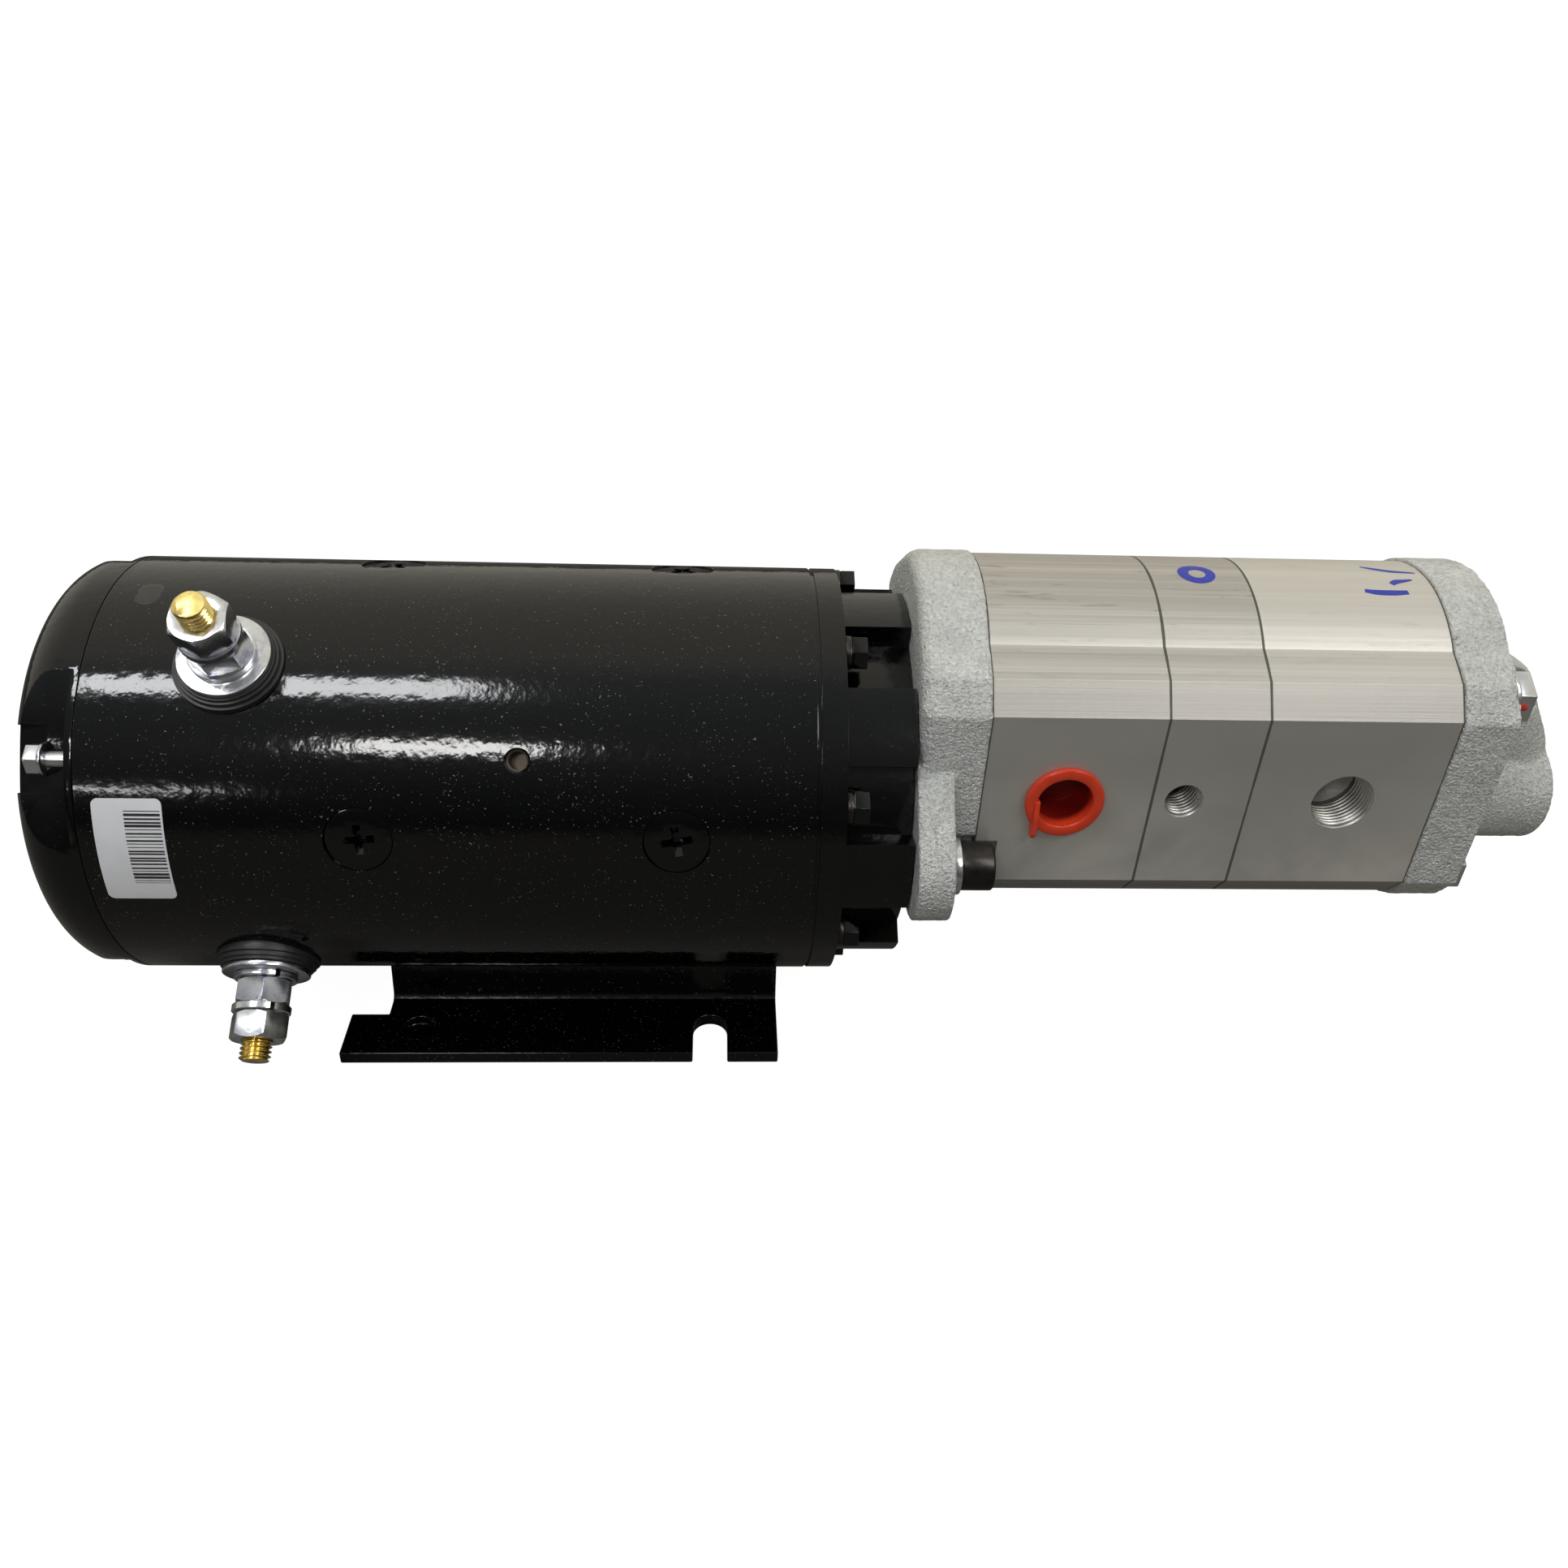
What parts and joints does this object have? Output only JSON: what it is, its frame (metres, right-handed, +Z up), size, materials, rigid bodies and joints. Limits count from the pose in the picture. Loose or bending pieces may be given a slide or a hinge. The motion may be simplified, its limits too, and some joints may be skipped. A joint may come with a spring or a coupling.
{
  "type": "hydraulic power unit",
  "caption": "Electric motor with a round tube and foot bracket, flange-coupled to a tandem external gear pump with side ports and an axial boss.",
  "frame": {"origin": "on the resting plane, midway between the two closed foot holes", "axes": "+X along the shaft from motor to pump, -Y towards the pressure ports, +Z up"},
  "size_m": [0.3971, 0.1325, 0.1452],
  "materials": {
    "gloss_black": "gloss",
    "black_oxide": "satin",
    "zinc": "satin",
    "brass": "satin",
    "cast_aluminium": "cast",
    "extruded_aluminium": "brushed",
    "steel": "satin",
    "black_rubber": "matte",
    "green_gasket": "matte",
    "red_plastic": "gloss",
    "label_film": "satin",
    "copper": "satin",
    "carbon": "matte",
    "phenolic": "matte"
  },
  "bodies": {
    "housing": {"motor_tube": "gloss_black", "commutator_end_cap": "gloss_black", "end_cap_screws": "zinc", "end_cap_washers": "zinc", "mounting_bracket": "gloss_black", "pole_shoes": "steel", "field_coils": "copper", "pole_screws": "black_oxide", "drive_end_housing": "gloss_black", "drive_end_screws": "black_oxide", "drive_end_lock_washers": "black_oxide", "front_bearing_outer": "steel", "rear_bearing_outer": "steel", "brush_plate": "phenolic", "brush_holders": "brass", "brush_spring_1": "steel", "brush_spring_2": "steel", "brush_spring_3": "steel", "brush_spring_4": "steel", "lead_straps": "copper", "terminal_insulators": "black_rubber", "terminal_studs": "brass", "terminal_flat_washers": "zinc", "terminal_lock_washers": "zinc", "terminal_nuts": "zinc", "tube_label": "label_film", "flange_gasket": "green_gasket", "pump_front_cover": "cast_aluminium", "flange_cap_screws": "black_oxide", "flange_washers": "zinc", "shaft_seal": "black_rubber", "pump_body_front": "extruded_aluminium", "centre_section": "extruded_aluminium", "pump_body_rear": "extruded_aluminium", "rear_cover": "cast_aluminium", "through_bolts": "zinc", "through_bolt_washers": "zinc", "bearing_blocks_front": "brass", "bearing_blocks_rear": "brass", "section_seals": "black_rubber"},
    "rotor": {"armature_core": "steel", "armature_windings": "copper", "commutator": "copper", "motor_shaft": "steel", "front_bearing_inner": "steel", "rear_bearing_inner": "steel", "shaft_coupling": "steel", "drive_gear_front": "steel", "section_coupling": "steel", "drive_gear_rear": "steel"},
    "idler_front": {"driven_gear_front": "steel"},
    "idler_rear": {"driven_gear_rear": "steel"},
    "front_ball_cage": {"front_bearing_cage": "brass"},
    "rear_ball_cage": {"rear_bearing_cage": "brass"},
    "plug": {"port_plug": "red_plastic"},
    "brush_body_1": {"brush_1": "carbon"},
    "brush_body_2": {"brush_2": "carbon"},
    "brush_body_3": {"brush_3": "carbon"},
    "brush_body_4": {"brush_4": "carbon"}
  },
  "joints": [
    {"name": "rotor_spin", "type": "hinge", "parent": "housing", "child": "rotor", "pos_m": [0.042, 0, 0.072], "axis": [1, 0, 0], "continuous": true},
    {"name": "idler_front_spin", "type": "hinge", "parent": "housing", "child": "idler_front", "pos_m": [0.042, 0, 0.102], "axis": [1, 0, 0], "continuous": true},
    {"name": "idler_rear_spin", "type": "hinge", "parent": "housing", "child": "idler_rear", "pos_m": [0.042, 0, 0.102], "axis": [1, 0, 0], "continuous": true},
    {"name": "front_cage_spin", "type": "hinge", "parent": "housing", "child": "front_ball_cage", "pos_m": [0.042, 0, 0.072], "axis": [1, 0, 0], "continuous": true},
    {"name": "rear_cage_spin", "type": "hinge", "parent": "housing", "child": "rear_ball_cage", "pos_m": [0.042, 0, 0.072], "axis": [1, 0, 0], "continuous": true},
    {"name": "brush_1_lift", "type": "slide", "parent": "housing", "child": "brush_body_1", "axis": [0, -0.515, 0.8572], "range_m": [0, 0.005], "deforming": ["brush_spring_1"]},
    {"name": "brush_2_lift", "type": "slide", "parent": "housing", "child": "brush_body_2", "axis": [0, 0.8572, 0.515], "range_m": [0, 0.005], "deforming": ["brush_spring_2"]},
    {"name": "brush_3_lift", "type": "slide", "parent": "housing", "child": "brush_body_3", "axis": [0, 0.515, -0.8572], "range_m": [0, 0.005], "deforming": ["brush_spring_3"]},
    {"name": "brush_4_lift", "type": "slide", "parent": "housing", "child": "brush_body_4", "axis": [0, -0.8572, -0.515], "range_m": [0, 0.005], "deforming": ["brush_spring_4"]},
    {"name": "plug_pull", "type": "slide", "parent": "housing", "child": "plug", "axis": [0, -1, 0], "range_m": [0, 0.03]}
  ],
  "couplings": [
    {"joint": "idler_front_spin", "follows": "rotor_spin", "ratio": -1},
    {"joint": "idler_rear_spin", "follows": "rotor_spin", "ratio": -1}
  ]
}
